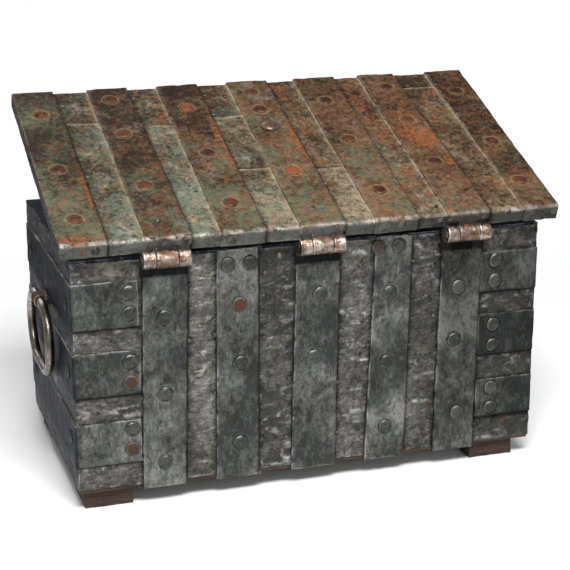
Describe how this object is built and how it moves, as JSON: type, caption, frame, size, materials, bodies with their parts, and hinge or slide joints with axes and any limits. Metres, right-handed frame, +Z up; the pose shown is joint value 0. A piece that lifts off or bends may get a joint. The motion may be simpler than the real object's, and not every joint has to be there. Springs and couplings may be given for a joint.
{
  "type": "armada chest",
  "caption": "Low iron-clad strongbox with riveted straps and bands, a hinged lid standing ajar, drop handles, wooden feet and a many-bolted lock under the lid.",
  "frame": {"origin": "on the floor, at the middle of the footprint of the whole chest with its lid ajar", "axes": "+Z up, +X along the hinge side towards the right-hand end seen from the lock side, +Y towards the hinge side, -Y towards the lock side"},
  "size_m": [0.639, 0.352, 0.4679],
  "materials": {
    "board_wood": "old dry wood, dark brown",
    "foot_wood": "old dry wood, dark red-brown, open grain",
    "sheet_iron": "thin hammered and wrinkled sheet iron, dark grey patina",
    "plain_iron": "forged iron, dark grey patina",
    "strap_iron": "forged iron strap, dark blue-grey patina, worn bright edges",
    "rivet_iron": "hand-hammered rivet heads, dark patina",
    "worn_iron": "worn iron, brown patina rubbed bright",
    "clip_iron": "forged iron, red-brown rust patina",
    "lid_sheet_iron": "thin sheet iron, mottled grey-green patina",
    "lid_strap_iron": "forged iron strap, green and brown patina with orange rust",
    "lid_rivet_iron": "rivet heads, red-brown rust",
    "lock_steel": "filed wrought steel, lightly oiled",
    "handle_steel": "forged round bar, brown patina rubbed bright"
  },
  "bodies": {
    "chest": {"floor_board": "board_wood", "front_board": "board_wood", "rear_board": "board_wood", "left_board": "board_wood", "right_board": "board_wood", "front_sheet": "sheet_iron", "rear_sheet": "sheet_iron", "left_sheet": "sheet_iron", "right_sheet": "sheet_iron", "bottom_straps": "plain_iron", "rear_strap_1": "strap_iron", "rear_strap_2": "strap_iron", "rear_strap_3": "strap_iron", "rear_strap_4": "strap_iron", "rear_strap_5": "strap_iron", "front_strap_1": "strap_iron", "front_strap_2": "strap_iron", "front_strap_3": "strap_iron", "front_strap_4": "strap_iron", "front_strap_5": "strap_iron", "left_band_lower": "strap_iron", "left_band_middle": "strap_iron", "left_band_upper": "strap_iron", "right_band_lower": "strap_iron", "right_band_middle": "strap_iron", "right_band_upper": "strap_iron", "mouth_frame": "plain_iron", "foot_front_left": "foot_wood", "foot_front_right": "foot_wood", "foot_rear_left": "foot_wood", "foot_rear_right": "foot_wood", "handle_clip_left": "clip_iron", "handle_clip_right": "clip_iron", "escutcheon": "plain_iron", "hinge_pins": "worn_iron", "wall_rivets": "rivet_iron", "band_rivets": "rivet_iron", "wall_nails": "worn_iron"},
    "lid": {"lid_board": "board_wood", "lid_sheet": "lid_sheet_iron", "lid_strap_1": "lid_strap_iron", "lid_strap_2": "lid_strap_iron", "lid_strap_3": "lid_strap_iron", "lid_strap_4": "lid_strap_iron", "lid_strap_5": "lid_strap_iron", "lid_strap_6": "lid_strap_iron", "lid_strap_7": "lid_strap_iron", "lid_rivets": "lid_rivet_iron", "lid_nails": "worn_iron", "lock_plate": "plain_iron", "bolt_guides": "plain_iron", "drive_bridge": "plain_iron"},
    "lock_drive": {"lock_drive": "lock_steel"},
    "front_bolts": {"front_bolts": "lock_steel"},
    "rear_bolts": {"rear_bolts": "lock_steel"},
    "left_bolt": {"left_bolt": "lock_steel"},
    "right_bolt": {"right_bolt": "lock_steel"},
    "keyhole_cover": {"keyhole_cover": "worn_iron"},
    "handle_left": {"handle_left": "handle_steel"},
    "handle_right": {"handle_right": "handle_steel"}
  },
  "joints": [
    {"name": "lid_hinge", "type": "hinge", "parent": "chest", "child": "lid", "pos_m": [0, 0.164, 0.316], "axis": [-1, 0, 0], "range_deg": [-21, 75]},
    {"name": "key_turn", "type": "hinge", "parent": "lid", "child": "lock_drive", "pos_m": [0, -0.04437, 0.39599], "axis": [0, 0.3584, 0.9336], "range_deg": [0, 50.3]},
    {"name": "cover_swing", "type": "hinge", "parent": "lid", "child": "keyhole_cover", "pos_m": [0, -0.05212, 0.43163], "axis": [0, 0.3584, 0.9336], "range_deg": [0, 100]},
    {"name": "handle_right_swing", "type": "hinge", "parent": "chest", "child": "handle_right", "pos_m": [0.311, -0.025, 0.222], "axis": [0, -1, 0], "range_deg": [0, 95]},
    {"name": "handle_left_swing", "type": "hinge", "parent": "chest", "child": "handle_left", "pos_m": [-0.311, -0.025, 0.222], "axis": [0, 1, 0], "range_deg": [0, 95]},
    {"name": "right_bolt_slide", "type": "slide", "parent": "lid", "child": "right_bolt", "axis": [1, 0, 0], "range_m": [0, 0.017]},
    {"name": "left_bolt_slide", "type": "slide", "parent": "lid", "child": "left_bolt", "axis": [-1, 0, 0], "range_m": [0, 0.017]},
    {"name": "front_bolts_slide", "type": "slide", "parent": "lid", "child": "front_bolts", "axis": [0, -0.9336, 0.3584], "range_m": [0, 0.017]},
    {"name": "rear_bolts_slide", "type": "slide", "parent": "lid", "child": "rear_bolts", "axis": [0, 0.9336, -0.3584], "range_m": [0, 0.017]}
  ],
  "couplings": [
    {"joint": "right_bolt_slide", "follows": "rear_bolts_slide", "ratio": 1},
    {"joint": "left_bolt_slide", "follows": "rear_bolts_slide", "ratio": 1},
    {"joint": "front_bolts_slide", "follows": "rear_bolts_slide", "ratio": 1},
    {"joint": "key_turn", "follows": "rear_bolts_slide", "rad_per_m": 51.64}
  ]
}
